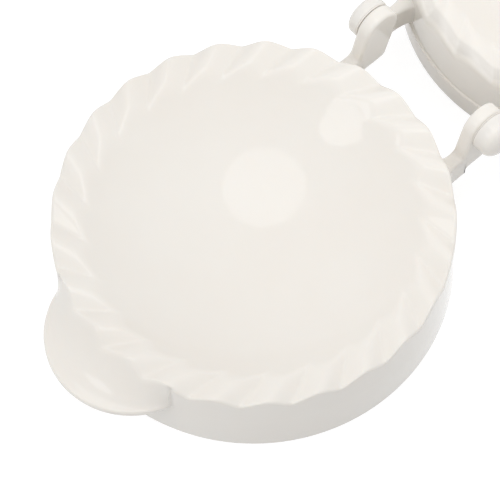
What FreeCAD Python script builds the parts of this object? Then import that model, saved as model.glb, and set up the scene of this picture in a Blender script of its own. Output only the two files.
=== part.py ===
"""Empanada press, lying open on a table: two round dished halves and the two pins of their hinge.

Each half is one moulding: a dish with a fluted crimping rim, a skirt that cuts the dough, a thumb
tab and two hinge arms. The halves are alike but for their rims, which mesh when the press is shut,
the step in the rear skirt, and the arms, of which the rear pair lies outside the front pair.
Millimetres; Z is up, the table is Z = 0, the hinge axis runs along X above the origin, the front
half lies on the -Y side and the rear half on the +Y side.
"""
import FreeCAD, Part
import math
import os

import Sketcher

# Driving sizes. The rim's height is above the table, and drops are below the rim or the pin.
SIZES = {
    "base_diameter": 120.0,
    "wall": 1.8,
    "rim_inset": 0.5,
    "rim_height": 28.4,
    "rim_width": 7.3,
    "rim_chamfer": 0.8,
    "rear_rim_chamfer": 2.4,
    "dish_edge_rise": 1.0,
    "dish_depth": 19.7,
    "flute_count": 25,
    "flute_depth": 3.6,
    "flute_land": 0.6,
    "flute_floor": 1.6,
    "flute_floor_rise": 0.3,
    "flute_slant": 32.4,
    "flute_phase": 4.6,
    "closing_gap": 2.2,
    "hinge_reach": 11.0,
    "step_height": 8.4,
    "step_depth": 0.8,
    "tab_radius": 25.6,
    "tab_reach": 13.6,
    "tab_drop": 9.6,
    "tab_thickness": 1.7,
    "cove_reach": 9.0,
    "cove_top_drop": 0.6,
    "arm_inner": 21.1,
    "arm_thickness": 4.1,
    "arm_top_drop": 8.8,
    "arm_heel_drop": 14.6,
    "arm_foot_drop": 17.5,
    "arm_elbow": 9.3,
    "arm_step": 7.4,
    "arm_heel": 1.6,
    "rear_arm_heel": -4.2,
    "arm_chamfer": 0.8,
    "eye_radius": 6.6,
    "eye_back_angle": 165.0,
    "eye_front_angle": 22.0,
    "rear_eye_front_angle": 40.0,
    "flare_width": 2.6,
    "flare_reach": 4.2,
    "hinge_gap": 0.35,
    "rear_arm_thickness": 3.6,
    "knob_height": 3.3,
    "knob_dome": 3.0,
    "pin_diameter": 4.0,
    "pin_proud": 0.5,
    "pin_chamfer": 0.4,
    "pin_seat": 5.0,
    "pin_clearance": 0.08,
    "overrun": 5.0,
}

# Part of the wall's thickness that the tab and the arms reach into.
ROOT_SHARE = 0.5


class Size:
    """A length or angle worked out from the sheet: its number now, and its expression."""

    def __init__(self, number, text):
        self.number = number
        self.text = text

    @staticmethod
    def of(value):
        return value if isinstance(value, Size) else Size(float(value), str(value))

    def __add__(self, other):
        other = Size.of(other)
        return Size(self.number + other.number, f"({self.text} + {other.text})")

    def __sub__(self, other):
        other = Size.of(other)
        return Size(self.number - other.number, f"({self.text} - {other.text})")

    def __mul__(self, other):
        other = Size.of(other)
        return Size(self.number * other.number, f"({self.text} * {other.text})")

    def __truediv__(self, other):
        other = Size.of(other)
        return Size(self.number / other.number, f"({self.text} / {other.text})")

    def __neg__(self):
        return Size(-self.number, f"(0 - {self.text})")

    def cos(self):
        return Size(math.cos(math.radians(self.number)), f"cos({self.text})")

    def sin(self):
        return Size(math.sin(math.radians(self.number)), f"sin({self.text})")

    def root(self):
        return Size(math.sqrt(self.number), f"sqrt({self.text})")


ZERO = Size(0.0, "0")


def named(alias):
    """The size of that name, as a value and as a reference to its cell."""
    return Size(float(SIZES[alias]), f"Sizes.{alias}")


def leg(hypotenuse, other):
    """The third side of a right-angled triangle."""
    return (hypotenuse * hypotenuse - other * other).root()


def write_sheet(doc):
    """The spreadsheet of driving sizes, one row each."""
    sheet = doc.addObject("Spreadsheet::Sheet", "Sizes")
    for row, (alias, number) in enumerate(SIZES.items(), start=1):
        sheet.set(f"A{row}", alias)
        sheet.set(f"B{row}", str(number))
        sheet.setAlias(f"B{row}", alias)
    doc.recompute()
    return sheet


def bind(thing, target, size):
    """Ties one property to the sheet."""
    thing.setExpression(target, size.text)


def origin_item(body, role):
    """One plane or axis of a body's own origin."""
    return next(item for item in body.Origin.OriginFeatures if item.Role == role)


def add_sketch(body, name, plane, offset=None, turn=None):
    """A sketch on a plane of the body, moved along its normal and turned about its upright axis."""
    sketch = body.newObject("Sketcher::SketchObject", name)
    sketch.AttachmentSupport = [(origin_item(body, plane), "")]
    sketch.MapMode = "FlatFace"
    if turn is not None:
        upright = FreeCAD.Rotation(FreeCAD.Vector(0, 1, 0), turn.number)
        sketch.AttachmentOffset = FreeCAD.Placement(FreeCAD.Vector(0, 0, 0), upright)
        bind(sketch, "AttachmentOffset.Rotation.Angle", turn)
    if offset is not None:
        bind(sketch, "AttachmentOffset.Base.z", offset)
    return sketch


def hold(sketch, item, end, direction, size):
    """Sets how far one point lies from the sketch's origin, across (X) or up (Y)."""
    if size is ZERO:
        axis = {"X": -2, "Y": -1}[direction]
        sketch.addConstraint(Sketcher.Constraint("PointOnObject", item, end, axis))
        return
    held = Sketcher.Constraint(f"Distance{direction}", -1, 1, item, end, size.number)
    index = sketch.addConstraint(held)
    sketch.setExpression(f"Constraints[{index}]", size.text)


def vector(corner):
    """A corner's two sizes as a point."""
    return FreeCAD.Vector(corner[0].number, corner[1].number, 0)


def arc_between(start, end, radius, turns_left):
    """The shorter arc of that radius from start to end, as a counter-clockwise curve."""
    chord = end - start
    middle = (start + end) / 2
    to_centre = math.sqrt(radius ** 2 - (chord.Length / 2) ** 2)
    normal = FreeCAD.Vector(-chord.y, chord.x, 0).normalize()
    centre = middle + normal * (to_centre if turns_left else -to_centre)
    first, last = (start, end) if turns_left else (end, start)
    begin = math.atan2(first.y - centre.y, first.x - centre.x)
    finish = math.atan2(last.y - centre.y, last.x - centre.x)
    if finish < begin:
        finish += 2 * math.pi
    circle = Part.Circle(centre, FreeCAD.Vector(0, 0, 1), radius)
    return Part.ArcOfCircle(circle, begin, finish)


def draw_outline(sketch, corners):
    """A closed outline. A corner is (across, up) or (across, up, radius, turns_left) for an arc on."""
    ends = []
    for index, corner in enumerate(corners):
        start = vector(corner)
        end = vector(corners[(index + 1) % len(corners)])
        if len(corner) == 2:
            item = sketch.addGeometry(Part.LineSegment(start, end), False)
            ends.append((item, 1, 2))
            continue
        radius, turns_left = corner[2], corner[3]
        item = sketch.addGeometry(arc_between(start, end, radius.number, turns_left), False)
        ends.append((item, 1, 2) if turns_left else (item, 2, 1))
    for index, (item, first, last) in enumerate(ends):
        following = ends[(index + 1) % len(ends)]
        joined = Sketcher.Constraint("Coincident", item, last, following[0], following[1])
        sketch.addConstraint(joined)
    for (item, first, last), corner in zip(ends, corners):
        hold(sketch, item, first, "X", corner[0])
        hold(sketch, item, first, "Y", corner[1])
        if len(corner) > 2:
            index = sketch.addConstraint(Sketcher.Constraint("Radius", item, corner[2].number))
            sketch.setExpression(f"Constraints[{index}]", corner[2].text)


def draw_circle(sketch, across, up, radius):
    """A circle held at its centre."""
    start = Part.Circle(vector((across, up)), FreeCAD.Vector(0, 0, 1), radius.number)
    item = sketch.addGeometry(start, False)
    hold(sketch, item, 3, "X", across)
    hold(sketch, item, 3, "Y", up)
    index = sketch.addConstraint(Sketcher.Constraint("Radius", item, radius.number))
    sketch.setExpression(f"Constraints[{index}]", radius.text)


def add_chamfer(body, name, face_x, size):
    """Takes off the edges round the flat face of a body that lies at that X."""
    body.Document.recompute()
    base = body.Tip

    def on_face(edge):
        spots = [vertex.Point for vertex in edge.Vertexes]
        return all(math.isclose(spot.x, face_x.number, rel_tol=1e-4) for spot in spots)

    edges = enumerate(base.Shape.Edges, start=1)
    chamfer = body.newObject("PartDesign::Chamfer", name)
    chamfer.Base = (base, [f"Edge{number}" for number, edge in edges if on_face(edge)])
    bind(chamfer, "Size", size)
    body.Document.recompute()


def cap_radius(half_width, height):
    """Radius of the ball whose cap has that half width and height."""
    return (half_width * half_width + height * height) / (height * 2)


def add_ball(doc, name, radius, centre, turn):
    """A ball, turned so that its seam lies on the side that is cut away."""
    ball = doc.addObject("Part::Sphere", name)
    bind(ball, "Radius", radius)
    ball.Placement.Rotation = turn
    for axis, size in zip("xyz", centre):
        bind(ball, f"Placement.Base.{axis}", size)
    return ball


class Half:
    """One half of the press, made with its own centre at the origin and its hinge towards +Y."""

    def __init__(self, doc, name, rear):
        self.doc = doc
        self.name = name
        self.rear = rear
        self.base_radius = named("base_diameter") / 2
        inset = named("step_depth") if rear else named("rim_inset")
        self.rim_radius = self.base_radius - inset
        self.dish_radius = self.rim_radius - named("rim_width")
        self.crest = named("rim_height") + named("flute_depth") / 2
        self.valley = named("rim_height") - named("flute_depth") / 2
        self.wall = named("wall")
        self.flange = self.valley - self.wall
        self.dish_edge = named("rim_height") + named("dish_edge_rise")
        self.ball_radius = cap_radius(self.dish_radius, named("dish_depth"))
        self.ball_centre = self.dish_edge - named("dish_depth") + self.ball_radius
        self.root_radius = self.rim_radius - self.wall * ROOT_SHARE
        self.hinge_offset = self.base_radius + named("hinge_reach")
        self.hinge_height = named("rim_height") + named("closing_gap") / 2
        self.arm_top = self.hinge_height - named("arm_top_drop")
        self.arm_foot = self.hinge_height - named("arm_foot_drop")
        front_outer = named("arm_inner") + named("arm_thickness")
        self.arm_inner = front_outer + named("hinge_gap") if rear else named("arm_inner")
        self.arm_thickness = named("rear_arm_thickness") if rear else named("arm_thickness")
        self.arm_outer = self.arm_inner + self.arm_thickness

    def ring_corners(self):
        """Half section of the rim and skirt, from the foot's outer corner round."""
        chamfer = named("rear_rim_chamfer") if self.rear else named("rim_chamfer")
        fall = (self.crest - self.dish_edge) / named("rim_width")
        inner = self.dish_radius - self.wall
        foot = [(self.base_radius, ZERO)]
        inside = [(self.rim_radius - self.wall, ZERO)]
        if self.rear:
            height = named("step_height")
            foot += [(self.base_radius, height), (self.rim_radius, height)]
            inside = [
                (self.rim_radius - self.wall, height - self.wall),
                (self.base_radius - self.wall, height - self.wall),
                (self.base_radius - self.wall, ZERO),
            ]
        top = [
            (self.rim_radius, self.crest - chamfer),
            (self.rim_radius - chamfer, self.crest - chamfer * fall),
            (inner, self.crest - (named("rim_width") + self.wall) * fall),
            (inner, self.flange),
            (self.rim_radius - self.wall, self.flange),
        ]
        return foot + top + inside

    def flute_corners(self, across):
        """Section of one flute: a shallow floor and two straight flanks, a narrow land apart."""
        pitch = self.rim_radius * math.tau / named("flute_count") * named("flute_slant").cos()
        half_width = (pitch - named("flute_land")) / 2
        half_floor = named("flute_floor") / 2
        floor = self.valley + named("flute_floor_rise")
        roof = self.crest + named("overrun")
        half_roof = half_floor + (half_width - half_floor) * (roof - floor) / (self.crest - floor)
        return [
            (across, self.valley),
            (across + half_floor, floor),
            (across + half_roof, roof),
            (across - half_roof, roof),
            (across - half_floor, floor),
        ]

    def shell(self):
        """The dish, rim and skirt with the slanting flutes cut in the rim."""
        body = self.doc.addObject("PartDesign::Body", f"{self.name}_shell")
        section = add_sketch(body, f"{self.name}_section", "XZ_Plane")
        draw_outline(section, self.ring_corners())
        turned = body.newObject("PartDesign::Revolution", f"{self.name}_turned")
        turned.Profile = section
        turned.ReferenceAxis = (origin_item(body, "Z_Axis"), [""])
        turned.Angle = 360
        seam_up = FreeCAD.Rotation(FreeCAD.Vector(0, 1, 0), -90)
        centre = (ZERO, ZERO, self.ball_centre)
        hollow = add_ball(self.doc, f"{self.name}_hollow", self.ball_radius, centre, seam_up)
        outside_radius = self.ball_radius + self.wall
        outside = add_ball(self.doc, f"{self.name}_dish_ball", outside_radius, centre, seam_up)
        height = self.doc.addObject("Part::Cylinder", f"{self.name}_dish_height")
        bind(height, "Radius", self.rim_radius)
        bind(height, "Height", self.dish_edge - self.wall * ROOT_SHARE)
        bowl = self.doc.addObject("Part::Common", f"{self.name}_bowl")
        bowl.Base = outside
        bowl.Tool = height
        blank = self.doc.addObject("Part::MultiFuse", f"{self.name}_blank")
        blank.Shapes = [body, bowl]
        dished = self.doc.addObject("Part::Cut", f"{self.name}_dished")
        dished.Base = blank
        dished.Tool = hollow
        fluted = self.doc.addObject("Part::Cut", f"{self.name}_fluted")
        fluted.Base = dished
        fluted.Tool = self.flutes()
        return fluted

    def flutes(self):
        """The flutes that slant across the rim. The rear half's run the other way."""
        half_pitch = Size(180.0, "180") / named("flute_count")
        quarter = Size(90.0, "90")
        if self.rear:
            turn = -named("flute_phase") - quarter * 2 - (quarter - named("flute_slant"))
        else:
            turn = named("flute_phase") + half_pitch + quarter - named("flute_slant")
        body = self.doc.addObject("PartDesign::Body", f"{self.name}_scoops")
        plane = add_sketch(body, f"{self.name}_scoop_section", "XZ_Plane", turn=turn)
        draw_outline(plane, self.flute_corners(self.rim_radius * named("flute_slant").sin()))
        scoop = body.newObject("PartDesign::Pad", f"{self.name}_scoop")
        scoop.Profile = plane
        scoop.Reversed = self.rear
        bind(scoop, "Length", self.rim_radius)
        ring = body.newObject("PartDesign::PolarPattern", f"{self.name}_scoop_ring")
        ring.Originals = [scoop]
        ring.Axis = (origin_item(body, "Z_Axis"), [""])
        ring.Angle = 360
        bind(ring, "Occurrences", named("flute_count"))
        body.Tip = ring
        return body

    def tab(self):
        """The flat thumb tab and the cove that carries it up to the rim, away from the hinge."""
        height = named("rim_height") - named("tab_drop")
        reach = named("cove_reach")
        top = self.valley - named("cove_top_drop")
        cove = cap_radius(reach, top - height)
        half_way = height + cove - leg(cove, reach / 2)
        outer = self.rim_radius
        tip = self.base_radius + named("tab_reach")
        far = tip + named("overrun")
        body = self.doc.addObject("PartDesign::Body", f"{self.name}_tab_ring")
        section = add_sketch(body, f"{self.name}_tab_section", "XZ_Plane")
        draw_outline(section, [
            (self.root_radius, height - named("tab_thickness")),
            (far, height - named("tab_thickness")),
            (far, height),
            (outer + reach, height),
            (outer + reach / 2, half_way),
            (outer, top),
            (self.root_radius, top),
        ])
        turned = body.newObject("PartDesign::Revolution", f"{self.name}_tab_turned")
        turned.Profile = section
        turned.ReferenceAxis = (origin_item(body, "Z_Axis"), [""])
        turned.Angle = 360
        disc = self.doc.addObject("Part::Cylinder", f"{self.name}_tab_outline")
        bind(disc, "Radius", named("tab_radius"))
        bind(disc, "Height", self.crest)
        bind(disc, "Placement.Base.y", named("tab_radius") - tip)
        tab = self.doc.addObject("Part::Common", f"{self.name}_tab")
        tab.Base = body
        tab.Tool = disc
        return tab

    def arm_corners(self):
        """Side view of a hinge arm, from the wall along its top, round the eye and back below."""
        pin_y = self.hinge_offset
        eye = named("eye_radius")
        pin_z = self.hinge_height
        back = named("eye_back_angle")
        front = -named("rear_eye_front_angle" if self.rear else "eye_front_angle")
        heel_y = pin_y + named("rear_arm_heel" if self.rear else "arm_heel")
        heel_z = pin_z - named("arm_heel_drop")
        start = leg(self.root_radius, self.arm_outer) - self.wall
        return [
            (start, self.arm_top),
            (pin_y - named("arm_elbow"), self.arm_top),
            (pin_y + eye * back.cos(), pin_z + eye * back.sin(), eye, False),
            (pin_y, pin_z + eye, eye, False),
            (pin_y + eye * front.cos(), pin_z + eye * front.sin()),
            (heel_y, heel_z),
            (pin_y - named("arm_step"), heel_z),
            (pin_y - named("arm_step"), self.arm_foot),
            (start, self.arm_foot),
        ]

    def arm(self):
        """The right-hand arm: a plate with its eye, its edges taken off on both faces."""
        body = self.doc.addObject("PartDesign::Body", f"{self.name}_arm_right")
        side = add_sketch(body, f"{self.name}_arm_side", "YZ_Plane", offset=self.arm_inner)
        draw_outline(side, self.arm_corners())
        plate = body.newObject("PartDesign::Pad", f"{self.name}_arm_plate")
        plate.Profile = side
        bind(plate, "Length", self.arm_thickness)
        add_chamfer(body, f"{self.name}_arm_inside", self.arm_inner, named("arm_chamfer"))
        add_chamfer(body, f"{self.name}_arm_outside", self.arm_outer, named("arm_chamfer"))
        return body

    def barrel(self, name, radius, start, length):
        """A round bar along the hinge axis, from that X outwards."""
        bar = self.doc.addObject("Part::Cylinder", name)
        bind(bar, "Radius", radius)
        bind(bar, "Height", length)
        bar.Placement.Rotation = FreeCAD.Rotation(FreeCAD.Vector(0, 1, 0), 90)
        bind(bar, "Placement.Base.x", start)
        bind(bar, "Placement.Base.y", self.hinge_offset)
        bind(bar, "Placement.Base.z", self.hinge_height)
        return bar

    def knob(self):
        """The right-hand knob of the rear half: a round boss with a domed end."""
        eye = named("eye_radius")
        length = self.arm_thickness + named("knob_height")
        boss = self.barrel(f"{self.name}_boss", eye, self.arm_inner, length)
        radius = cap_radius(eye, named("knob_dome"))
        centre = (self.arm_inner + length - radius, self.hinge_offset, self.hinge_height)
        seam_in = FreeCAD.Rotation(FreeCAD.Vector(0, 0, 1), 180)
        knob = self.doc.addObject("Part::Common", f"{self.name}_knob_right")
        knob.Base = boss
        knob.Tool = add_ball(self.doc, f"{self.name}_knob_ball", radius, centre, seam_in)
        return knob

    def flare(self):
        """The widening that spreads the foot of the right-hand arm over the wall."""
        wall = self.rim_radius
        width = named("flare_width")
        reach = named("flare_reach")
        inner, outer = self.arm_inner, self.arm_outer
        inside_spread = inner - width
        outside_spread = outer + width
        hollow = cap_radius(reach, width)
        buried = leg(self.root_radius, outside_spread) - self.wall
        body = self.doc.addObject("PartDesign::Body", f"{self.name}_flare_right")
        plan = add_sketch(body, f"{self.name}_flare_plan", "XY_Plane", offset=self.arm_foot)
        draw_outline(plan, [
            (inside_spread, buried),
            (outside_spread, buried),
            (outside_spread, leg(wall, outside_spread), hollow, False),
            (outer, leg(wall, outer) + reach),
            (inner, leg(wall, inner) + reach, hollow, False),
            (inside_spread, leg(wall, inside_spread)),
        ])
        block = body.newObject("PartDesign::Pad", f"{self.name}_flare")
        block.Profile = plan
        bind(block, "Length", self.arm_top - self.arm_foot - named("arm_chamfer"))
        return body

    def bore(self):
        """The pin's hole on the right: right through the front eye, blind in the rear knob."""
        name = f"{self.name}_bore_right"
        pin_radius = named("pin_diameter") / 2
        if self.rear:
            return self.barrel(name, pin_radius, self.arm_inner, named("pin_seat"))
        overrun = named("overrun")
        length = self.arm_thickness + overrun * 2
        loose = pin_radius + named("pin_clearance")
        return self.barrel(name, loose, self.arm_inner - overrun, length)

    def mirrored(self, piece, name):
        """The left-hand copy of a right-hand piece."""
        copy = self.doc.addObject("Part::Mirroring", name)
        copy.Source = piece
        copy.Normal = (1, 0, 0)
        return copy

    def pair(self, piece, stem):
        """A right-hand piece with its left-hand copy."""
        return [piece, self.mirrored(piece, f"{self.name}_{stem}_left")]

    def build(self):
        """The whole half as one solid, set on its side of the hinge."""
        shell = self.shell()
        fittings = [self.tab()] + self.pair(self.arm(), "arm") + self.pair(self.flare(), "flare")
        if self.rear:
            fittings += self.pair(self.knob(), "knob")
        joined = self.doc.addObject("Part::MultiFuse", f"{self.name}_fittings")
        joined.Shapes = fittings
        core = self.doc.addObject("Part::Cylinder", f"{self.name}_core")
        bind(core, "Radius", self.root_radius)
        bind(core, "Height", self.crest)
        outside = self.doc.addObject("Part::Cut", f"{self.name}_outside")
        outside.Base = joined
        outside.Tool = core
        whole = self.doc.addObject("Part::MultiFuse", f"{self.name}_whole")
        whole.Shapes = [shell, outside]
        bores = self.doc.addObject("Part::MultiFuse", f"{self.name}_bores")
        bores.Shapes = self.pair(self.bore(), "bore")
        half = self.doc.addObject("Part::Cut", f"{self.name}_half")
        half.Base = whole
        half.Tool = bores
        half.Label = f"{self.name}_half"
        if self.rear:
            half.Placement.Rotation = FreeCAD.Rotation(FreeCAD.Vector(0, 0, 1), 180)
        bind(half, "Placement.Base.y", self.hinge_offset if self.rear else -self.hinge_offset)
        return half


def build_pin(doc, front, rear):
    """The right-hand hinge pin, from just proud of the front eye to the bottom of the rear bore."""
    body = doc.addObject("PartDesign::Body", "hinge_pin_right")
    start = front.arm_inner - named("pin_proud")
    section = add_sketch(body, "pin_section", "YZ_Plane", offset=start)
    draw_circle(section, ZERO, front.hinge_height, named("pin_diameter") / 2)
    shank = body.newObject("PartDesign::Pad", "pin_shank")
    shank.Profile = section
    bind(shank, "Length", rear.arm_inner + named("pin_seat") - start)
    add_chamfer(body, "pin_inner_end", start, named("pin_chamfer"))
    add_chamfer(body, "pin_outer_end", rear.arm_inner + named("pin_seat"), named("pin_chamfer"))
    return body


def check(doc, pieces):
    """Stops if any object of the document failed or any finished piece is not one good solid."""
    failed = [item.Name for item in doc.Objects if {"Invalid", "Error"} & set(item.State)]
    if failed:
        raise RuntimeError(f"these objects failed: {failed}")
    for piece in pieces:
        shape = piece.Shape
        if shape.isNull() or not shape.isValid() or len(shape.Solids) != 1:
            raise RuntimeError(f"{piece.Label} is not one valid solid")
        print(f"{piece.Label}: {shape.Volume / 1000:.2f} cm3, {len(shape.Faces)} faces")


def main():
    """Builds the document and writes one STEP file for each piece."""
    doc = FreeCAD.newDocument("empanada_press")
    write_sheet(doc)
    front = Half(doc, "front", rear=False)
    rear = Half(doc, "rear", rear=True)
    pieces = [front.build(), rear.build()]
    pin = build_pin(doc, front, rear)
    left_pin = doc.addObject("Part::Mirroring", "hinge_pin_left")
    left_pin.Source = pin
    left_pin.Normal = (1, 0, 0)
    pieces += [pin, left_pin]
    doc.recompute()
    check(doc, pieces)
    os.makedirs("parts", exist_ok=True)
    for piece in pieces:
        piece.Shape.exportStep(os.path.join("parts", f"{piece.Label}.step"))


main()
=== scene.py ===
"""Empanada press, lying open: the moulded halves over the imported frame, lit on a pale floor.

Lengths in the classes are millimetres and angles are degrees. A half is made with its own centre
at the origin and its hinge towards +Y, then set on its side of the hinge. Blender's own unit is
the metre, so every point is scaled by MM on its way into a mesh.
"""

import logging
import math
from dataclasses import dataclass
from enum import Enum

import bmesh
import bpy
import numpy as np
from mathutils import Matrix, Vector


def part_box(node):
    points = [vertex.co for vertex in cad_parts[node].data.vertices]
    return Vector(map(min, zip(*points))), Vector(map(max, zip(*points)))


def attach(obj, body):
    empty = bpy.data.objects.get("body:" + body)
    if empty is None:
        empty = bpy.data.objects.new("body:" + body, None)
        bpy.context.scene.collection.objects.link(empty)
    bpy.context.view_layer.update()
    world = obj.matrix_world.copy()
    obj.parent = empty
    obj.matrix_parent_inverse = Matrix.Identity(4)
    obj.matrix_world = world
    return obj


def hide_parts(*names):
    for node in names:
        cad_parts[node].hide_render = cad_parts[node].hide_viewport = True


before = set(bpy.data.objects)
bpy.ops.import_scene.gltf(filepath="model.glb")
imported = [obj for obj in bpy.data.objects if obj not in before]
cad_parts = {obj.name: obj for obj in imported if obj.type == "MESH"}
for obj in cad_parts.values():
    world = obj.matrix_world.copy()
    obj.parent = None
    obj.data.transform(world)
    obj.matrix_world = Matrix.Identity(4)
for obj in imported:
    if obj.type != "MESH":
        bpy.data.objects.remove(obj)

MM = 0.001
QUARTER_TURN = math.pi / 2.0
HANDS = (1.0, -1.0)
# How far the hinge pins lie from a half's centre, and how high.
PIN_REACH = 71.0
PIN_HEIGHT = 29.5
# Points nearer than WELD become one, and edges shorter than SLIVER are taken out.
WELD = 0.002
SLIVER = 0.001
# The range in which most of a noise's values lie.
NOISE_LOW = 0.15
NOISE_HIGH = 0.85
PINS = ("hinge_pin_left", "hinge_pin_right")
log = logging.getLogger("empanada_press")


class Side(Enum):
    """Which half of the press a piece belongs to. The value is its body in the frame."""

    FRONT = "front"
    REAR = "rear"


def smooth_min(first: np.ndarray, second: np.ndarray, width: float) -> np.ndarray:
    """The lower of two heights, with the crease between them rounded.

    Args:
        first: Heights of one surface.
        second: Heights of the other surface.
        width: Height difference over which the two are blended.

    Returns:
        The blended heights.
    """
    near = np.clip(width - np.abs(first - second), 0.0, None) / width
    return np.minimum(first, second) - near * near * width / 4.0


def smooth_step(value: np.ndarray, start: float, end: float) -> np.ndarray:
    """A soft ramp.

    Args:
        value: Where the ramp is read.
        start: Where it is still 0.
        end: Where it reaches 1.

    Returns:
        The ramp's height from 0 to 1.
    """
    along = np.clip((value - start) / (end - start), 0.0, 1.0)
    return along * along * (3.0 - 2.0 * along)


def steps_to(end: float, count: int) -> np.ndarray:
    """Even steps from 0 to a value, without the 0 itself.

    Args:
        end: The last value.
        count: Number of steps.

    Returns:
        The values.
    """
    return np.linspace(0.0, end, count + 1)[1:]


def grey(tone: float) -> tuple[float, float, float, float]:
    """An opaque grey of that tone."""
    return (tone, tone, tone, 1.0)


def set_inputs(node: bpy.types.Node, values: dict[str, object]) -> None:
    """Sets inputs of a node.

    Args:
        node: The node.
        values: The inputs' values by name.
    """
    for name, value in values.items():
        node.inputs[name].default_value = value


def rounded_path(corners: list[tuple[float, float, float]], steps: int = 5) -> np.ndarray:
    """An open path whose inner corners are rounded.

    Args:
        corners: Points of the path as (across, up, radius of the corner).
        steps: Pieces that each rounded corner is drawn with.

    Returns:
        The points of the path, one row each.
    """
    points = [np.array(corners[0][:2])]
    for before, corner, after in zip(corners, corners[1:], corners[2:]):
        tip = np.array(corner[:2])
        radius = corner[2]
        if radius == 0.0:
            points.append(tip)
            continue
        inward = np.array(before[:2]) - tip
        onward = np.array(after[:2]) - tip
        inward /= np.linalg.norm(inward)
        onward /= np.linalg.norm(onward)
        half_turn = math.acos(float(np.clip(inward @ onward, -1.0, 1.0))) / 2.0
        reach = radius / math.tan(half_turn)
        away = radius / math.sin(half_turn)
        middle = tip + (inward + onward) / np.linalg.norm(inward + onward) * away
        start = tip + inward * reach - middle
        end = tip + onward * reach - middle
        for share in np.linspace(0.0, 1.0, steps + 1):
            swing = start * (1.0 - share) + end * share
            points.append(middle + swing / np.linalg.norm(swing) * radius)
    points.append(np.array(corners[-1][:2]))
    return np.array(points)


def grid_faces(rows: int, columns: int, closed: bool) -> list[tuple[int, int, int, int]]:
    """Faces of a grid of points numbered row by row.

    Args:
        rows: Number of rows.
        columns: Number of points in a row.
        closed: Whether each row joins up into a ring.

    Returns:
        The four point numbers of each face.
    """
    faces = []
    for row in range(rows - 1):
        for column in range(columns if closed else columns - 1):
            after = (column + 1) % columns
            low = row * columns
            high = low + columns
            faces.append((low + column, low + after, high + after, high + column))
    return faces


@dataclass(frozen=True)
class Placement:
    """Where a half stands in the frame, and which way it faces."""

    offset: float
    turned: bool

    def matrix(self) -> Matrix:
        """The move from a half's own millimetres to the frame's metres."""
        turn = Matrix.Rotation(math.pi if self.turned else 0.0, 4, "Z")
        return Matrix.Translation((0.0, self.offset, 0.0)) @ turn @ Matrix.Scale(MM, 4)


class MeshMaker:
    """Gathers points and faces and turns them into one smooth-shaded object."""

    def __init__(self, name: str) -> None:
        """Starts an empty mesh under that name."""
        self.name = name
        self.bm = bmesh.new()

    def add(self, points: np.ndarray, faces: list[tuple[int, ...]]) -> None:
        """Adds a patch of surface.

        Args:
            points: One row for each point.
            faces: Point numbers of each face.
        """
        made = [self.bm.verts.new(point) for point in points]
        for face in faces:
            self.bm.faces.new([made[index] for index in face])

    def finish(self, placement: Placement, body: Side, sharp: float) -> bpy.types.Object:
        """Closes the mesh and sets it in the frame.

        Args:
            placement: Where the half stands.
            body: The body that carries the piece.
            sharp: Edges that turn by more than this many degrees stay sharp.

        Returns:
            The finished object, riding on its body.
        """
        bmesh.ops.remove_doubles(self.bm, verts=self.bm.verts, dist=WELD)
        bmesh.ops.dissolve_degenerate(self.bm, edges=self.bm.edges, dist=SLIVER)
        bmesh.ops.recalc_face_normals(self.bm, faces=self.bm.faces)
        mesh = bpy.data.meshes.new(self.name)
        self.bm.to_mesh(mesh)
        self.bm.free()
        mesh.transform(placement.matrix())
        mesh.shade_smooth()
        mesh.set_sharp_from_angle(angle=math.radians(sharp))
        piece = bpy.data.objects.new(self.name, mesh)
        bpy.context.scene.collection.objects.link(piece)
        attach(piece, body.value)
        return piece


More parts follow.
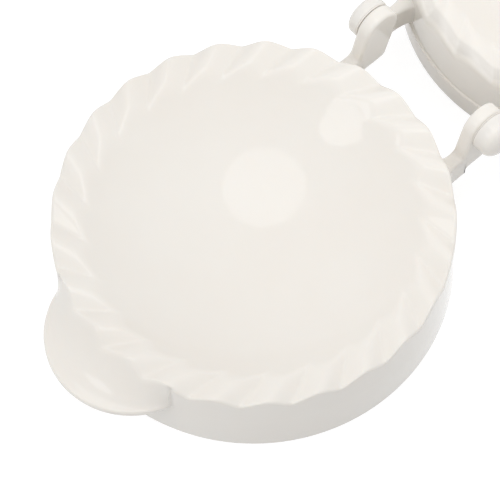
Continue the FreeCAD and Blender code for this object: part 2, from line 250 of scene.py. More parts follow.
@dataclass
class Shell:
    """The dish, fluted rim, skirt and thumb tab of one half, drawn as one closed skin.

    The fields up to ledge_drop are the half's sizes. Those after it lay out the grid of points.
    """

    side: Side
    base_radius: float = 60.0
    rim_radius: float = 59.7
    rim_height: float = 28.55
    rim_width: float = 8.0
    brink_round: float = 0.8
    crest_softness: float = 1.9
    wall: float = 1.8
    dish_edge: float = 28.6
    dish_depth: float = 19.7
    lip_softness: float = 1.3
    flute_count: int = 25
    flute_depth: float = 3.9
    flute_round: float = 0.5
    flute_slant: float = 33.0
    flute_phase: float = 4.5
    step_height: float = 8.4
    tab_radius: float = 26.1
    tab_centre: float = 47.5
    tab_height: float = 18.8
    tab_thickness: float = 2.3
    cove_reach: float = 12.0
    cove_softness: float = 2.0
    cove_share: float = 0.9
    cove_least: float = 0.2
    tab_fade: float = 0.3
    edge_round: float = 0.5
    foot_wall: float = 1.5
    foot_round: float = 0.45
    corner_round: float = 0.3
    flange_round: float = 1.0
    ledge_drop: float = 0.2
    dish_runs: tuple[tuple[float, float, float], ...] = (
        (0.0, 45.0, 4.0),
        (45.0, 48.0, 0.75),
        (48.0, 54.0, 0.3),
        (54.0, 57.7, 0.6),
    )
    ball_reach: float = 0.99
    twist_reach: float = 1.16
    near_span: float = 3.0
    near_rows: int = 16
    tab_rows: int = 10
    brink_rows: int = 7
    edge_rows: int = 6
    edge_round_rows: int = 3
    underside_shares: tuple[float, ...] = (0.35, 0.7)
    bowl_rows: int = 15
    columns_per_flute: int = 28

    def __post_init__(self) -> None:
        """Works out the sizes that follow from the fields."""
        self.crest = self.rim_height + self.flute_depth / 2.0
        self.valley = self.rim_height - self.flute_depth / 2.0
        self.dish_radius = self.rim_radius - self.rim_width
        self.ball_radius = (self.dish_radius**2 + self.dish_depth**2) / (2.0 * self.dish_depth)
        self.ball_centre = self.dish_edge - self.dish_depth + self.ball_radius
        self.fall = (self.crest - self.dish_edge) / self.rim_width
        slant = math.radians(self.flute_slant)
        self.foot = self.rim_radius * math.sin(slant)
        self.pitch = math.tau / self.flute_count
        half_width = self.rim_radius * self.pitch * math.cos(slant) / 2.0
        self.flank = self.flute_depth / (math.hypot(half_width, self.flute_round) - self.flute_round)
        self.hand = 1.0 if self.side is Side.FRONT else -1.0
        start = self.flute_phase + 90.0 - self.flute_slant
        start += 180.0 / self.flute_count if self.side is Side.FRONT else 180.0
        self.first_foot = self.hand * math.radians(start)

    def top(self, radius: np.ndarray, angle: np.ndarray) -> np.ndarray:
        """Height of the dish and the fluted rim.

        Args:
            radius: Distances from the half's centre.
            angle: Directions from the half's centre, in radians.

        Returns:
            The heights.
        """
        inside = np.minimum(radius, self.ball_radius * self.ball_reach)
        dish = self.ball_centre - np.sqrt(self.ball_radius**2 - inside**2)
        height = self.crest - (self.rim_radius - radius) * self.fall
        for flute in range(self.flute_count):
            foot = self.first_foot + flute * self.pitch
            off = radius * np.cos(angle - foot) - self.foot
            along = radius * np.sin(foot - angle) * self.hand
            flute_top = self.valley + self.flank * (np.hypot(off, self.flute_round) - self.flute_round)
            cut = smooth_min(height, flute_top, self.crest_softness)
            height = np.where(along > 0.0, cut, height)
        return smooth_min(dish, height, self.lip_softness)

    def outer_edge(self, angle: np.ndarray) -> np.ndarray:
        """Distance from the centre to the rim, or to the tab's outline where there is a tab.

        Args:
            angle: Directions from the half's centre, in radians.

        Returns:
            The distances.
        """
        off = angle + QUARTER_TURN
        sideways = self.tab_centre * np.sin(off)
        inside = np.clip(self.tab_radius**2 - sideways**2, 0.0, None)
        out = self.tab_centre * np.cos(off) + np.sqrt(inside)
        has_tab = (np.cos(off) > 0.0) & (np.abs(sideways) < self.tab_radius)
        return np.where(has_tab, np.maximum(out, self.rim_radius), self.rim_radius)

    def cove(self, radius: np.ndarray, edge: np.ndarray) -> np.ndarray:
        """Height of the thumb tab and the hollow curve that carries it up to the rim.

        Args:
            radius: Distances from the half's centre.
            edge: Distance of the outline in the same directions.

        Returns:
            The heights.
        """
        reach = np.clip((edge - self.rim_radius) * self.cove_share, self.cove_least, self.cove_reach)
        away = np.clip(self.rim_radius + reach - radius, 0.0, None)
        return self.tab_height + (self.valley - self.tab_height) * (away / reach) ** 2

    def column_angles(self) -> np.ndarray:
        """Directions of the columns at the rim, with one at each end of the tab.

        Returns:
            The directions, in radians.
        """
        count = self.flute_count * self.columns_per_flute
        angles = np.arange(count) / count * math.tau - math.pi
        reach = self.tab_centre**2 + self.rim_radius**2 - self.tab_radius**2
        half = math.acos(reach / (2.0 * self.tab_centre * self.rim_radius))
        for end in (-half, half):
            nearest = np.argmin(np.abs(angles + QUARTER_TURN - end))
            angles[nearest] = end - QUARTER_TURN
        return angles

    def twist(self, radius: np.ndarray) -> np.ndarray:
        """How far a column has turned from its place at the rim, to follow the flutes.

        Args:
            radius: Distances from the half's centre.

        Returns:
            The turns, in radians.
        """
        held = np.clip(radius, self.foot * self.twist_reach, self.rim_radius)
        return self.hand * (math.acos(self.foot / self.rim_radius) - np.arccos(self.foot / held))

    def skirt_path(self) -> np.ndarray:
        """Half section from the rim's outer edge down the skirt, round its foot and up inside.

        Returns:
            The points of the section as (radius, height), ending at the middle of the bowl.
        """
        base, rim, corner = self.base_radius, self.rim_radius, self.corner_round
        flange = self.valley - self.wall
        lower = self.ball_radius + self.wall
        meet = math.sqrt(lower**2 - (self.ball_centre - flange) ** 2)
        corners = [(rim, self.tab_height - self.tab_thickness, 0.0)]
        if self.side is Side.REAR:
            corners.append((rim, self.step_height, corner))
            corners.append((base, self.step_height - self.ledge_drop, corner))
        corners.append((base, 0.0, self.foot_round))
        corners.append((base - self.foot_wall, 0.0, corner))
        if self.side is Side.REAR:
            ceiling = self.step_height - self.wall
            corners.append((base - self.wall, ceiling, corner))
            corners.append((rim - self.wall, ceiling, corner))
        corners.append((rim - self.wall, flange, self.flange_round))
        corners.append((meet, flange, 0.0))
        swing = np.linspace(math.asin(meet / lower), 0.0, self.bowl_rows + 1)[1:]
        bowl = np.stack([lower * np.sin(swing), self.ball_centre - lower * np.cos(swing)], axis=1)
        return np.concatenate([rounded_path(corners), bowl])

    def build(self, maker: MeshMaker) -> None:
        """Adds the skin to a mesh.

        Args:
            maker: The mesh of this half.
        """
        rim_angles = self.column_angles()
        edge = self.outer_edge(rim_angles)
        dish_rows = np.concatenate([np.arange(*run) for run in self.dish_runs])
        rings = [np.full_like(rim_angles, radius) for radius in dish_rows]
        inner = dish_rows[-1]
        near = np.minimum(edge, self.rim_radius + self.near_span) - self.brink_round
        for share in steps_to(1.0, self.near_rows):
            rings.append(inner + (near - inner) * share)
        for share in steps_to(1.0, self.tab_rows):
            rings.append(near + (edge - self.brink_round - near) * share)
        for swing in steps_to(QUARTER_TURN, self.brink_rows):
            rings.append(edge - self.brink_round * (1.0 - math.sin(swing)))
        rows = [self.surface_row(radii, rim_angles, edge) for radii in rings]
        brink = rows[-1][:, 2]
        floor = self.tab_height - self.tab_thickness
        soft = self.edge_round
        for share in steps_to(1.0, self.edge_rows):
            rows.append(self.ring(edge, rim_angles, brink + (floor + soft - brink) * share))
        for swing in steps_to(QUARTER_TURN, self.edge_round_rows):
            inward = np.minimum(edge - self.rim_radius, soft * (1.0 - math.cos(swing)))
            height = np.full_like(edge, floor + soft * (1.0 - math.sin(swing)))
            rows.append(self.ring(edge - inward, rim_angles, height))
        reach = edge - np.minimum(edge - self.rim_radius, soft)
        for share in self.underside_shares:
            radii = reach + (self.rim_radius - reach) * share
            rows.append(self.ring(radii, rim_angles, np.full_like(edge, floor)))
        for radius, height in self.skirt_path():
            radii = np.full_like(edge, radius)
            rows.append(self.ring(radii, rim_angles, np.full_like(edge, height)))
        points = np.concatenate(rows)
        maker.add(points, grid_faces(len(rows), len(rim_angles), closed=True))

    def surface_row(
        self, radii: np.ndarray, rim_angles: np.ndarray, edge: np.ndarray
    ) -> np.ndarray:
        """One ring of points on the top surface.

        Args:
            radii: Distance of each point from the centre.
            rim_angles: Direction of each column at the rim.
            edge: Distance of each column's outer edge.

        Returns:
            The points, one row each.
        """
        angles = rim_angles + self.twist(radii)
        height = self.top(radii, angles)
        over_tab = smooth_min(height, self.cove(radii, edge), self.cove_softness)
        has_tab = smooth_step(edge - self.rim_radius, 0.0, self.tab_fade)
        height = height + (over_tab - height) * has_tab
        past = np.clip(radii - (edge - self.brink_round), 0.0, self.brink_round)
        height = height - (self.brink_round - np.sqrt(self.brink_round**2 - past**2))
        return self.ring(radii, angles, height)

    @staticmethod
    def ring(radii: np.ndarray, angles: np.ndarray, height: np.ndarray) -> np.ndarray:
        """Points at those distances, directions and heights."""
        return np.stack([radii * np.cos(angles), radii * np.sin(angles), height], axis=1)


@dataclass
class HingeArm:
    """One hinge arm of a half, a rounded plate that flares where it leaves the skirt.

    Seen from the side it runs from its root in the wall over the elbow to the eye round the pin,
    and back under the eye by the heel and the notch.
    """

    wall_radius: float
    inner: float
    thickness: float
    top: float = 20.7
    underside: float = 13.4
    foot: float = 10.6
    elbow: float = 9.3
    notch: float = 7.4
    notch_lean: float = 0.02
    heel: float = 1.6
    eye: float = 6.6
    back_angle: float = 165.0
    front_angle: float = -22.0
    root: float = 2.5
    elbow_round: float = 1.6
    notch_round: float = 0.5
    heel_round: float = 2.4
    edge_round: float = 1.1
    flare_width: float = 2.6
    flare_reach: float = 4.2
    longest_run: float = 0.5
    outline_points: int = 110
    upper_points: int = 40
    lower_points: int = 6
    edge_points: int = 6
    side_rows: int = 7

    def chains(self) -> tuple[np.ndarray, np.ndarray]:
        """The arm's upper and lower outline in its side view.

        Returns:
            Two runs of as many points, both from the wall to the front of the eye.
        """
        start = math.sqrt(self.wall_radius**2 - (self.inner + self.thickness) ** 2) - self.root
        notch = PIN_REACH - self.notch
        upper = [
            (start, self.top, 0.0),
            (PIN_REACH - self.elbow, self.top, self.elbow_round),
        ]
        lower = [
            (start, self.foot, 0.0),
            (notch, self.foot, self.notch_round),
            (notch + self.notch_lean, self.underside, self.notch_round),
            (PIN_REACH + self.heel, self.underside, self.heel_round),
        ]
        return (
            self.chain(upper, math.radians(self.back_angle), self.upper_points),
            self.chain(lower, math.radians(self.front_angle), self.lower_points),
        )

    def chain(
        self, corners: list[tuple[float, float, float]], angle: float, count: int
    ) -> np.ndarray:
        """One run of the outline: a rounded path to the eye, then along the eye to its front.

        Args:
            corners: The path's corners before the eye, as (along, up, radius of the corner).
            angle: Direction from the pin, in radians, in which the path meets the eye.
            count: Number of points drawn along the eye.

        Returns:
            The run's points, evenly spread.
        """
        pin = np.array([PIN_REACH, PIN_HEIGHT])
        touch = pin + self.eye * np.array([math.cos(angle), math.sin(angle)])
        path = rounded_path(corners + [(touch[0], touch[1], 0.0)])
        swing = np.linspace(angle, 0.0, count)[1:]
        arc = pin + self.eye * np.stack([np.cos(swing), np.sin(swing)], axis=1)
        line = np.concatenate([self.densify(path, self.longest_run), arc])
        return self.resample(line, self.outline_points)

    @staticmethod
    def densify(path: np.ndarray, step: float) -> np.ndarray:
        """Divides the long runs of a path.

        Args:
            path: Points of the path.
            step: Longest run that is left whole.

        Returns:
            The path with points added on its long runs.
        """
        points = [path[:1]]
        for start, end in zip(path, path[1:]):
            count = max(1, math.ceil(float(np.linalg.norm(end - start)) / step))
            shares = np.linspace(0.0, 1.0, count + 1)[1:, None]
            points.append(start + (end - start) * shares)
        return np.concatenate(points)

    @staticmethod
    def resample(path: np.ndarray, count: int) -> np.ndarray:
        """Spreads points evenly along a path.

        Args:
            path: Points of the path.
            count: Number of points wanted.

        Returns:
            The evenly spread points.
        """
        runs = np.linalg.norm(np.diff(path, axis=0), axis=1)
        along = np.concatenate([[0.0], np.cumsum(runs)])
        wanted = np.linspace(0.0, along[-1], count)
        return np.stack([np.interp(wanted, along, path[:, axis]) for axis in (0, 1)], axis=1)

    def build(self, maker: MeshMaker, hand: float) -> None:
        """Adds the arm to a mesh.

        Args:
            maker: The mesh of this half.
            hand: 1 for the arm on the half's own right, facing the hinge, -1 for the other.
        """
        upper, lower = self.chains()
        outline = np.concatenate([upper, lower[-2::-1]])
        tangent = np.roll(outline, -1, axis=0) - np.roll(outline, 1, axis=0)
        tangent /= np.linalg.norm(tangent, axis=1)[:, None]
        normal = np.stack([tangent[:, 1], -tangent[:, 0]], axis=1)
        swings = np.linspace(0.0, QUARTER_TURN, self.edge_points)
        insets = self.edge_round * (1.0 - np.sin(swings))
        depths = self.edge_round * (1.0 - np.cos(swings))
        rows = []
        for depth, inset in zip(depths, insets):
            rows.append((self.inner + depth, outline + normal * inset))
        for depth, inset in zip(depths[::-1], insets[::-1]):
            rows.append((self.inner + self.thickness - depth, outline + normal * inset))
        points = []
        for across, shape in rows:
            column = np.full(len(shape), across)
            points.append(np.stack([column, shape[:, 0], shape[:, 1]], axis=1))
        faces = grid_faces(len(rows), len(outline), closed=True)
        maker.add(self.flared(np.concatenate(points), hand), faces)
        for ring in (points[0], points[-1]):
            self.add_side(maker, ring, len(upper), hand)

    def add_side(self, maker: MeshMaker, ring: np.ndarray, length: int, hand: float) -> None:
        """Fills one flat side of the arm between its upper and lower outline.

        Args:
            maker: The mesh of this half.
            ring: The outline of the side, the upper run first.
            length: Number of points in the upper run.
            hand: 1 for the arm on the half's own right, facing the hinge, -1 for the other.
        """
        upper = ring[:length]
        lower = np.concatenate([ring[:length - 1:-1], upper[-1:]])
        shares = np.linspace(0.0, 1.0, self.side_rows)
        rows = np.concatenate([upper + (lower - upper) * share for share in shares])
        faces = grid_faces(self.side_rows, length, closed=False)
        maker.add(self.flared(rows, hand), faces)

    def flared(self, points: np.ndarray, hand: float) -> np.ndarray:
        """Spreads the arm's foot over the wall and sets it on its side of the press.

        Args:
            points: Points of the arm as drawn on the half's own right.
            hand: 1 for the arm on the half's own right, facing the hinge, -1 for the other.

        Returns:
            The moved points.
        """
        moved = points.copy()
        wall = np.sqrt(np.clip(self.wall_radius**2 - moved[:, 0] ** 2, 0.0, None))
        near = np.clip(1.0 - (moved[:, 1] - wall) / self.flare_reach, 0.0, 1.0)
        middle = self.inner + self.thickness / 2.0
        side = (moved[:, 0] - middle) / (self.thickness / 2.0)
        moved[:, 0] += side * self.flare_width * (1.0 - np.sqrt(1.0 - near**2))
        moved[:, 0] *= hand
        return moved


@dataclass
class Knob:
    """The domed boss at the end of a rear arm, with a thin spacer towards the front eye."""

    inner: float
    length: float
    radius: float = 6.6
    dome_share: float = 0.52
    edge_round: float = 0.5
    spacer_radius: float = 6.45
    spacer_length: float = 0.28
    spacer_round: float = 0.1
    dome_steps: int = 16
    turn_steps: int = 64

    def build(self, maker: MeshMaker, hand: float) -> None:
        """Adds the knob to a mesh.

        Args:
            maker: The mesh of this half.
            hand: 1 for the knob on the half's own right, facing the hinge, -1 for the other.
        """
        dome = self.length * self.dome_share
        path = rounded_path([
            (0.0, -self.spacer_length, 0.0),
            (self.spacer_radius, -self.spacer_length, self.spacer_round),
            (self.spacer_radius, 0.0, 0.0),
            (self.radius, 0.0, self.edge_round),
            (self.radius, self.length - dome, 0.0),
        ])
        swing = steps_to(QUARTER_TURN, self.dome_steps)
        cap = np.stack([
            self.radius * np.cos(swing),
            self.length - dome + dome * np.sin(swing),
        ], axis=1)
        path = np.concatenate([path, cap])
        turn = np.linspace(0.0, math.tau, self.turn_steps + 1)[:-1]
        points = []
        for radius, along in path:
            points.append(np.stack([
                np.full_like(turn, hand * (self.inner + along)),
                PIN_REACH + radius * np.cos(turn),
                PIN_HEIGHT + radius * np.sin(turn),
            ], axis=1))
        maker.add(np.concatenate(points), grid_faces(len(path), len(turn), closed=True))


class GroupMaker:
    """Builds one shader node group out of named inputs, outputs and nodes."""

    def __init__(self, name: str) -> None:
        """Starts an empty group under that name."""
        self.tree = bpy.data.node_groups.new(name, "ShaderNodeTree")
        self.source = self.tree.nodes.new("NodeGroupInput")
        self.sink = self.tree.nodes.new("NodeGroupOutput")

    def socket(self, name: str, kind: str, way: str, value: object = None) -> None:
        """Declares one socket of the group.

        Args:
            name: The socket's name.
            kind: Its type, such as NodeSocketFloat.
            way: INPUT or OUTPUT.
            value: Its value where nothing is linked.
        """
        made = self.tree.interface.new_socket(name=name, in_out=way, socket_type=kind)
        if value is not None:
            made.default_value = value

    def node(self, kind: str, **settings: object) -> bpy.types.Node:
        """Adds a node.

        Args:
            kind: The node's type.
            settings: Its properties by name.

        Returns:
            The new node.
        """
        made = self.tree.nodes.new(kind)
        for name, value in settings.items():
            setattr(made, name, value)
        return made

    def noise(self, place: bpy.types.Node, detail: float) -> bpy.types.Node:
        """Adds a noise that is fixed to the object.

        Args:
            place: The node of texture coordinates.
            detail: The noise's detail.

        Returns:
            The new node.
        """
        made = self.node("ShaderNodeTexNoise", noise_dimensions="3D")
        made.inputs["Detail"].default_value = detail
        self.link(place.outputs["Object"], made.inputs["Vector"])
        return made

    def spread(self) -> bpy.types.Node:
        """Adds a soft ramp over the range in which most of a noise's values lie."""
        ramp = self.node("ShaderNodeMapRange", interpolation_type="SMOOTHERSTEP")
        set_inputs(ramp, {"From Min": NOISE_LOW, "From Max": NOISE_HIGH})
        return ramp

    def link(self, start: bpy.types.NodeSocket, end: bpy.types.NodeSocket) -> None:
        """Joins two sockets."""
        self.tree.links.new(start, end)


@dataclass(frozen=True)
class Mottle:
    """The faint cloudy change of tone that melted plastic leaves where it flowed."""

    name: str = "plastic_mottle"
    detail: float = 4.0
    roughness: float = 0.55

    def build(self) -> bpy.types.NodeTree:
        """Builds the group.

        Returns:
            The group, which puts out a colour.
        """
        group = GroupMaker(self.name)
        group.socket("Light tone", "NodeSocketColor", "INPUT", (0.85, 0.85, 0.83, 1.0))
        group.socket("Dark tone", "NodeSocketColor", "INPUT", (0.8, 0.79, 0.77, 1.0))
        group.socket("Cloud scale", "NodeSocketFloat", "INPUT", 30.0)
        group.socket("Colour", "NodeSocketColor", "OUTPUT")
        place = group.node("ShaderNodeTexCoord")
        cloud = group.noise(place, self.detail)
        cloud.inputs["Roughness"].default_value = self.roughness
        spread = group.spread()
        mix = group.node("ShaderNodeMix", data_type="RGBA")
        group.link(group.source.outputs["Cloud scale"], cloud.inputs["Scale"])
        group.link(cloud.outputs["Fac"], spread.inputs["Value"])
        group.link(spread.outputs["Result"], mix.inputs["Factor"])
        group.link(group.source.outputs["Light tone"], mix.inputs["A"])
        group.link(group.source.outputs["Dark tone"], mix.inputs["B"])
        group.link(mix.outputs["Result"], group.sink.inputs["Colour"])
        return group.tree


@dataclass(frozen=True)
class SkinGrain:
    """The fine skin of moulded plastic: a slow waviness and a very fine grain."""

    name: str = "moulded_skin"
    wave_detail: float = 1.0
    grain_detail: float = 3.0

    def build(self) -> bpy.types.NodeTree:
        """Builds the group.

        Returns:
            The group, which puts out a bump height and a roughness.
        """
        group = GroupMaker(self.name)
        group.socket("Wave scale", "NodeSocketFloat", "INPUT", 60.0)
        group.socket("Grain scale", "NodeSocketFloat", "INPUT", 1800.0)
        group.socket("Grain share", "NodeSocketFloat", "INPUT", 0.2)
        group.socket("Smooth roughness", "NodeSocketFloat", "INPUT", 0.24)
        group.socket("Dull roughness", "NodeSocketFloat", "INPUT", 0.34)
        group.socket("Height", "NodeSocketFloat", "OUTPUT")
        group.socket("Roughness", "NodeSocketFloat", "OUTPUT")
        place = group.node("ShaderNodeTexCoord")
        wave = group.noise(place, self.wave_detail)
        grain = group.noise(place, self.grain_detail)
        height = group.node("ShaderNodeMix", data_type="FLOAT")
        dull = group.spread()
        group.link(group.source.outputs["Wave scale"], wave.inputs["Scale"])
        group.link(group.source.outputs["Grain scale"], grain.inputs["Scale"])
        group.link(group.source.outputs["Grain share"], height.inputs["Factor"])
        group.link(wave.outputs["Fac"], height.inputs["A"])
        group.link(grain.outputs["Fac"], height.inputs["B"])
        group.link(wave.outputs["Fac"], dull.inputs["Value"])
        group.link(group.source.outputs["Smooth roughness"], dull.inputs["To Min"])
        group.link(group.source.outputs["Dull roughness"], dull.inputs["To Max"])
        group.link(height.outputs["Result"], group.sink.inputs["Height"])
        group.link(dull.outputs["Result"], group.sink.inputs["Roughness"])
        return group.tree


@dataclass(frozen=True)
class Speck:
    """A few dark specks moulded into the plastic, far apart."""

    name: str = "moulded_specks"
    share_of_cells: float = 0.06

    def build(self) -> bpy.types.NodeTree:
        """Builds the group.

        Returns:
            The group, which puts out a colour with the specks laid over it.
        """
        group = GroupMaker(self.name)
        group.socket("Colour", "NodeSocketColor", "INPUT", (0.85, 0.85, 0.83, 1.0))
        group.socket("Speck colour", "NodeSocketColor", "INPUT", (0.35, 0.28, 0.2, 1.0))
        group.socket("Cell scale", "NodeSocketFloat", "INPUT", 55.0)
        group.socket("Speck size", "NodeSocketFloat", "INPUT", 0.012)
        group.socket("Colour", "NodeSocketColor", "OUTPUT")
        place = group.node("ShaderNodeTexCoord")
        cells = group.node("ShaderNodeTexVoronoi", feature="F1", distance="EUCLIDEAN")
        near = group.node("ShaderNodeMath", operation="LESS_THAN")
        chance = group.node("ShaderNodeSeparateColor")
        rare = group.node("ShaderNodeMath", operation="LESS_THAN")
        rare.inputs[1].default_value = self.share_of_cells
        both = group.node("ShaderNodeMath", operation="MULTIPLY")
        mix = group.node("ShaderNodeMix", data_type="RGBA")
        group.link(place.outputs["Object"], cells.inputs["Vector"])
        group.link(group.source.outputs["Cell scale"], cells.inputs["Scale"])
        group.link(cells.outputs["Distance"], near.inputs[0])
        group.link(group.source.outputs["Speck size"], near.inputs[1])
        group.link(cells.outputs["Color"], chance.inputs["Color"])
        group.link(chance.outputs["Red"], rare.inputs[0])
        group.link(near.outputs["Value"], both.inputs[0])
        group.link(rare.outputs["Value"], both.inputs[1])
        group.link(both.outputs["Value"], mix.inputs["Factor"])
        group.link(group.source.outputs["Colour"], mix.inputs["A"])
        group.link(group.source.outputs["Speck colour"], mix.inputs["B"])
        group.link(mix.outputs["Result"], group.sink.inputs["Colour"])
        return group.tree


@dataclass(frozen=True)
class EffectSet:
    """The shader node groups that the finishes share."""

    mottle: bpy.types.NodeTree
    skin: bpy.types.NodeTree
    specks: bpy.types.NodeTree


@dataclass(frozen=True)
class MouldedPlastic:
    """Glossy moulded plastic, a little milky, as one material."""

    name: str
    light_tone: tuple[float, float, float]
    dark_tone: tuple[float, float, float]
    cloud_scale: float = 26.0
    smooth_roughness: float = 0.02
    dull_roughness: float = 0.06
    grain_share: float = 0.12
    bump_depth: float = 0.00004
    depth_of_glow: float = 0.0012
    glow: float = 0.12
    glow_radius: tuple[float, float, float] = (1.0, 0.85, 0.7)
    ior: float = 1.49

    def build(self, effects: EffectSet) -> bpy.types.Material:
        """Builds the material.

        Args:
            effects: The shared node groups.

        Returns:
            The material.
        """
        material = bpy.data.materials.new(self.name)
        material.use_nodes = True
        nodes, links = material.node_tree.nodes, material.node_tree.links
        shader = nodes["Principled BSDF"]
        mottle = self.place(nodes, effects.mottle)
        set_inputs(mottle, {
            "Light tone": (*self.light_tone, 1.0),
            "Dark tone": (*self.dark_tone, 1.0),
            "Cloud scale": self.cloud_scale,
        })
        specks = self.place(nodes, effects.specks)
        skin = self.place(nodes, effects.skin)
        set_inputs(skin, {
            "Smooth roughness": self.smooth_roughness,
            "Dull roughness": self.dull_roughness,
            "Grain share": self.grain_share,
        })
        bump = nodes.new("ShaderNodeBump")
        set_inputs(bump, {"Strength": 1.0, "Distance": self.bump_depth})
        links.new(mottle.outputs["Colour"], specks.inputs["Colour"])
        links.new(specks.outputs["Colour"], shader.inputs["Base Color"])
        links.new(skin.outputs["Height"], bump.inputs["Height"])
        links.new(skin.outputs["Roughness"], shader.inputs["Roughness"])
        links.new(bump.outputs["Normal"], shader.inputs["Normal"])
        set_inputs(shader, {
            "IOR": self.ior,
            "Subsurface Weight": self.glow,
            "Subsurface Radius": self.glow_radius,
            "Subsurface Scale": self.depth_of_glow,
        })
        return material

    @staticmethod
    def place(nodes: bpy.types.Nodes, group: bpy.types.NodeTree) -> bpy.types.Node:
        """Places a node group in a material."""
        made = nodes.new("ShaderNodeGroup")
        made.node_tree = group
        return made


@dataclass
class HalfPress:
    """One whole half of the press: its shell with the tab, its two hinge arms and any knobs."""

    side: Side
    node: str
    shell: Shell
    arm: HingeArm
    knobs: tuple[Knob, ...] = ()
    sharp: float = 50.0

    def build(self, material: bpy.types.Material) -> bpy.types.Object:
        """Builds the half and puts it in the place of its CAD node.

        Args:
            material: The plastic that it is made of.

        Returns:
            The finished object.
        """
        low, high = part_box(self.node)
        centre = low.y / MM + self.shell.tab_centre + self.shell.tab_radius
        if self.side is Side.REAR:
            centre = high.y / MM - self.shell.tab_centre - self.shell.tab_radius
        placement = Placement(centre * MM, self.side is Side.REAR)
        maker = MeshMaker(f"{self.side.value}_moulding")
        self.shell.build(maker)
        for place, hand in enumerate(HANDS):
            self.arm.build(maker, hand)
            if self.knobs:
                self.knobs[place].build(maker, hand)
        piece = maker.finish(placement, self.side, self.sharp)
        piece.data.materials.append(material)
        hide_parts(self.node)
        return piece


@dataclass(frozen=True)
class Lamp:
    """One round soft lamp aimed at the front dish.

    The directions are over the floor, counter-clockwise from +X, and above the floor. Distance and
    size are in metres, and the power is in watts.
    """

    name: str
    azimuth: float
    elevation: float
    distance: float
    size: float
    power: float
    in_gloss: bool = True
    target: tuple[float, float, float] = (0.0, -0.071, 0.012)

    def build(self) -> None:
        """Makes the lamp."""
        lamp = bpy.data.lights.new(self.name, "AREA")
        lamp.shape = "DISK"
        lamp.size = self.size
        lamp.energy = self.power
        holder = bpy.data.objects.new(self.name, lamp)
        azimuth, elevation = math.radians(self.azimuth), math.radians(self.elevation)
        away = Vector((
            math.cos(azimuth) * math.cos(elevation),
            math.sin(azimuth) * math.cos(elevation),
            math.sin(elevation),
        ))
        holder.location = Vector(self.target) + away * self.distance
        holder.rotation_euler = away.to_track_quat("Z", "Y").to_euler()
        holder.visible_glossy = self.in_gloss
        holder.visible_camera = False
        bpy.context.scene.collection.objects.link(holder)


@dataclass(frozen=True)
class Studio:
    """The pale floor, the soft lamps and the white surroundings."""

    floor_size: float = 40.0
    floor_roughness: float = 0.9
    floor_tone: float = 0.58
    floor_glow: float = 0.8
    shadow_share: float = 0.32
    surroundings: float = 0.71
    lamps: tuple[Lamp, ...] = (
        Lamp("overhead", -139.0, 85.2, 0.95, 0.57, 0.8),
        Lamp("window", -103.0, 45.0, 1.5, 0.5, 0.9),
        Lamp("softbox", -88.0, 45.0, 0.6, 0.5, 0.52, in_gloss=False),
        Lamp("backlight", 84.0, 44.5, 0.27, 0.2, 0.13, in_gloss=False),
    )

    def build(self) -> None:
        """Makes the floor, the lamps and the world."""
        self.build_floor()
        for lamp in self.lamps:
            lamp.build()
        self.build_world()

    def build_floor(self) -> None:
        """Makes the floor, which keeps the shadow and shows as white elsewhere."""
        half = self.floor_size / 2.0
        mesh = bpy.data.meshes.new("floor")
        corners = [(-half, -half, 0.0), (half, -half, 0.0), (half, half, 0.0), (-half, half, 0.0)]
        mesh.from_pydata(corners, [], [(0, 1, 2, 3)])
        floor = bpy.data.objects.new("floor", mesh)
        bpy.context.scene.collection.objects.link(floor)
        material = bpy.data.materials.new("pale_floor")
        material.use_nodes = True
        nodes, links = material.node_tree.nodes, material.node_tree.links
        shader = nodes["Principled BSDF"]
        set_inputs(shader, {
            "Roughness": self.floor_roughness,
            "Specular IOR Level": 0.0,
            "Emission Color": grey(1.0),
        })
        seen = self.seen_rays(nodes, links)
        pale = nodes.new("ShaderNodeMix")
        pale.data_type = "RGBA"
        set_inputs(pale, {"A": grey(self.floor_tone), "B": grey(self.shadow_share)})
        links.new(seen, pale.inputs["Factor"])
        links.new(pale.outputs["Result"], shader.inputs["Base Color"])
        glow = nodes.new("ShaderNodeMath")
        glow.operation = "MULTIPLY"
        glow.inputs[1].default_value = self.floor_glow
        links.new(seen, glow.inputs[0])
        links.new(glow.outputs["Value"], shader.inputs["Emission Strength"])
        mesh.materials.append(material)

    @staticmethod
    def seen_rays(nodes: bpy.types.Nodes, links: bpy.types.NodeLinks) -> bpy.types.NodeSocket:
        """Adds a mask of the rays that show the background, straight or in gloss or glass.

        Args:
            nodes: Nodes of the material or the world.
            links: Its links.

        Returns:
            The socket that is 1 for those rays.
        """
        path = nodes.new("ShaderNodeLightPath")
        seen = path.outputs["Is Camera Ray"]
        for name in ("Is Glossy Ray", "Is Transmission Ray"):
            either = nodes.new("ShaderNodeMath")
            either.operation = "MAXIMUM"
            links.new(seen, either.inputs[0])
            links.new(path.outputs[name], either.inputs[1])
            seen = either.outputs["Value"]
        return seen

    def build_world(self) -> None:
        """Makes even surroundings that light the object and show as white behind it."""
        world = bpy.data.worlds.new("surroundings")
        bpy.context.scene.world = world
        world.use_nodes = True
        nodes, links = world.node_tree.nodes, world.node_tree.links
        light = nodes["Background"]
        set_inputs(light, {"Color": grey(1.0), "Strength": self.surroundings})
        white = nodes.new("ShaderNodeBackground")
        set_inputs(white, {"Color": grey(1.0), "Strength": 1.0})
        mix = nodes.new("ShaderNodeMixShader")
        links.new(self.seen_rays(nodes, links), mix.inputs["Fac"])
        links.new(light.outputs["Background"], mix.inputs[1])
        links.new(white.outputs["Background"], mix.inputs[2])
        links.new(mix.outputs["Shader"], nodes["World Output"].inputs["Surface"])


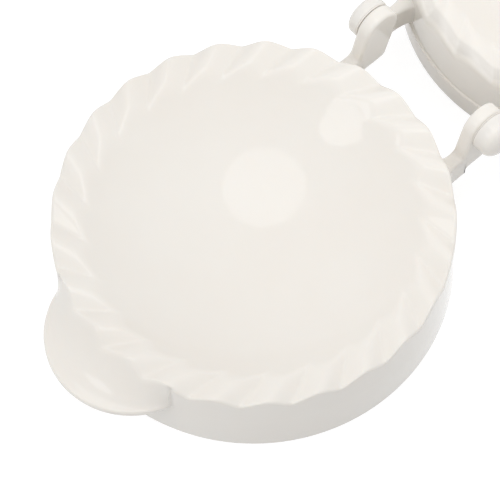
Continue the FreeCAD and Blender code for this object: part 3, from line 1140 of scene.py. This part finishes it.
@dataclass(frozen=True)
class PhotoCamera:
    """The camera that took the photograph, as fitted to the rims of both halves."""

    azimuth: float = 50.542
    elevation: float = 63.937
    roll: float = -2.603
    distance: float = 0.8314
    lens: float = 197.24
    sensor: float = 36.0
    nearest: float = 0.01
    farthest: float = 100.0
    target: tuple[float, float, float] = (-0.003546, -0.069874, 0.0)

    def build(self) -> None:
        """Makes the camera and gives it to the scene."""
        camera = bpy.data.cameras.new("photo_camera")
        camera.sensor_width = self.sensor
        camera.lens = self.lens
        camera.clip_start = self.nearest
        camera.clip_end = self.farthest
        holder = bpy.data.objects.new("photo_camera", camera)
        bpy.context.scene.collection.objects.link(holder)
        azimuth, elevation = math.radians(self.azimuth), math.radians(self.elevation)
        roll = math.radians(self.roll)
        back = Vector((
            math.sin(azimuth) * math.cos(elevation),
            -math.cos(azimuth) * math.cos(elevation),
            math.sin(elevation),
        ))
        level = Vector((math.cos(azimuth), math.sin(azimuth), 0.0))
        upright = back.cross(level)
        right = level * math.cos(roll) + upright * math.sin(roll)
        up = upright * math.cos(roll) - level * math.sin(roll)
        turn = Matrix((right, up, back)).transposed().to_4x4()
        place = Vector(self.target) + back * self.distance
        holder.matrix_world = Matrix.Translation(place) @ turn
        bpy.context.scene.camera = holder


def main() -> None:
    """Builds the halves, the pins' finish, the studio and the camera, in that order."""
    logging.basicConfig(level=logging.INFO, format="%(name)s: %(message)s")
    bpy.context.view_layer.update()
    bpy.context.scene.view_settings.view_transform = "Standard"
    effects = EffectSet(Mottle().build(), SkinGrain().build(), Speck().build())
    white = MouldedPlastic("white_plastic", (0.88, 0.85, 0.8), (0.865, 0.825, 0.77))
    ivory = MouldedPlastic("pin_plastic", (0.88, 0.86, 0.8), (0.85, 0.82, 0.75))
    body_material = white.build(effects)
    pin_material = ivory.build(effects)
    front = HalfPress(Side.FRONT, "front_half", Shell(Side.FRONT), HingeArm(59.6, 20.5, 4.7))
    rear = HalfPress(
        Side.REAR,
        "rear_half",
        Shell(
            Side.REAR,
            rim_radius=59.2,
            brink_round=4.4,
            crest_softness=3.4,
            foot_wall=1.6,
        ),
        HingeArm(
            59.2,
            25.55,
            3.6,
            eye=6.4,
            heel=-4.2,
            front_angle=-40.0,
            flare_width=3.4,
            flare_reach=8.0,
        ),
        (Knob(25.55, 5.2), Knob(25.55, 7.7)),
    )
    for half in (front, rear):
        piece = half.build(body_material)
        log.info("%s: %d faces", piece.name, len(piece.data.polygons))
    for name in PINS:
        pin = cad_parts[name]
        pin.data.materials.clear()
        pin.data.materials.append(pin_material)
        log.info("%s: finish set", name)
    Studio().build()
    PhotoCamera().build()


if __name__ == "__main__":
    main()
